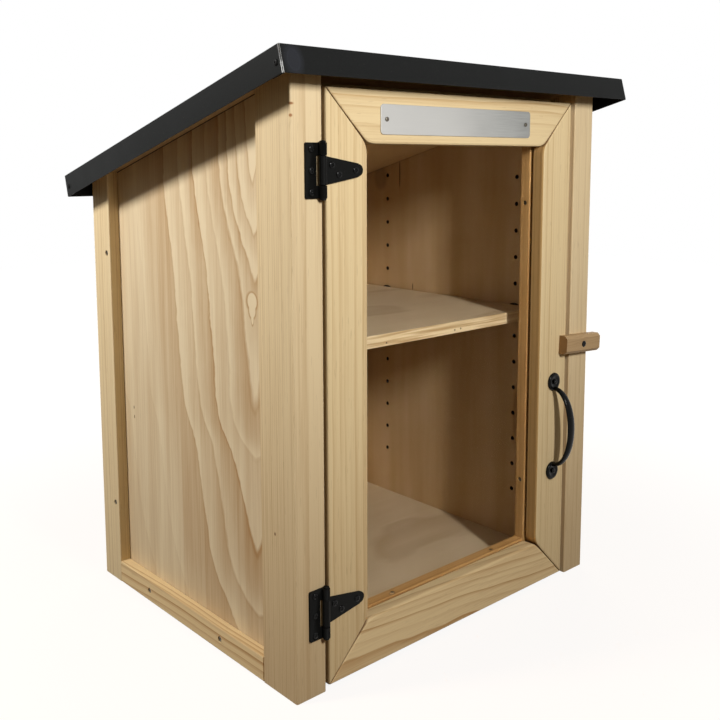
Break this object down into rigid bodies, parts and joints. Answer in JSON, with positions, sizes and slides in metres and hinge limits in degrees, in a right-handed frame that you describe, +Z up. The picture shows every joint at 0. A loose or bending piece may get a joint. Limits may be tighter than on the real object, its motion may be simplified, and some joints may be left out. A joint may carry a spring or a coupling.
{
  "type": "street book exchange box",
  "caption": "Pine and plywood book exchange cabinet with a sloping sheet-metal roof, a glazed swinging door on tee hinges, a loose shelf and a wooden turn button.",
  "frame": {"origin": "under the middle of the body, on the surface that the box stands on", "axes": "+X to the right seen from the front, +Y to the back, +Z up"},
  "size_m": [0.5768, 0.4846, 0.6804],
  "materials": {
    "pine": "unfinished planed pine, fine straight grain",
    "plywood": "unfinished plywood, bold arched grain",
    "inner_plywood": "unfinished plywood, quiet grain",
    "button_wood": "unfinished pale brown wood with cut corners",
    "black_sheet": "satin charcoal paint on folded sheet",
    "black_iron": "satin black",
    "brushed_aluminium": "brushed",
    "steel": "plain",
    "dark_plastic": "smooth dark plastic",
    "clear_pane": "clear, with a little dust"
  },
  "bodies": {
    "cabinet": {"front_post_left": "pine", "front_post_right": "pine", "rear_trim_left": "pine", "rear_trim_right": "pine", "bottom_trim_left": "pine", "bottom_trim_right": "pine", "side_panel_left": "plywood", "side_panel_right": "plywood", "back_panel": "inner_plywood", "floor_panel": "inner_plywood", "front_sill": "pine", "front_header": "pine", "roof_board": "plywood", "roof_cap": "black_sheet", "roof_cap_rivet_front_left": "black_sheet", "roof_cap_rivet_front_right": "black_sheet", "roof_cap_rivet_rear_left": "black_sheet", "roof_cap_rivet_rear_right": "black_sheet", "shelf_support_front_left": "dark_plastic", "shelf_support_front_right": "dark_plastic", "shelf_support_rear_left": "dark_plastic", "shelf_support_rear_right": "dark_plastic", "hinge_leaf_upper": "black_iron", "hinge_leaf_lower": "black_iron", "hinge_pin_upper": "black_iron", "hinge_pin_lower": "black_iron", "hinge_leaf_screw_upper_top": "black_iron", "hinge_leaf_screw_upper_middle": "black_iron", "hinge_leaf_screw_upper_bottom": "black_iron", "hinge_leaf_screw_lower_top": "black_iron", "hinge_leaf_screw_lower_middle": "black_iron", "hinge_leaf_screw_lower_bottom": "black_iron", "turn_button_screw": "black_iron"},
    "door": {"door_stile_left": "pine", "door_stile_right": "pine", "door_rail_bottom": "pine", "door_rail_top": "pine", "window_pane": "clear_pane", "glazing_bead_left": "pine", "glazing_bead_right": "pine", "glazing_bead_bottom": "pine", "glazing_bead_top": "pine", "hinge_strap_upper": "black_iron", "hinge_strap_lower": "black_iron", "hinge_strap_screw_upper_root": "black_iron", "hinge_strap_screw_upper_middle": "black_iron", "hinge_strap_screw_upper_tip": "black_iron", "hinge_strap_screw_lower_root": "black_iron", "hinge_strap_screw_lower_middle": "black_iron", "hinge_strap_screw_lower_tip": "black_iron", "name_plate": "brushed_aluminium", "name_plate_screw_left": "steel", "name_plate_screw_right": "steel", "door_handle": "black_iron", "handle_screw_upper": "black_iron", "handle_screw_lower": "black_iron"},
    "turn_button": {"turn_button": "button_wood"},
    "shelf": {"shelf": "inner_plywood"}
  },
  "joints": [
    {"name": "door_swing", "type": "hinge", "parent": "cabinet", "child": "door", "pos_m": [-0.2185, -0.2226, 0.3272], "axis": [0, 0, -1], "range_deg": [0, 180]},
    {"name": "button_turn", "type": "hinge", "parent": "cabinet", "child": "turn_button", "pos_m": [0.2295, -0.2247, 0.32545], "axis": [0, 1, 0], "continuous": true},
    {"name": "shelf_lift", "type": "slide", "parent": "cabinet", "child": "shelf", "axis": [0, 0, 1], "range_m": [0, 0.1524]}
  ]
}
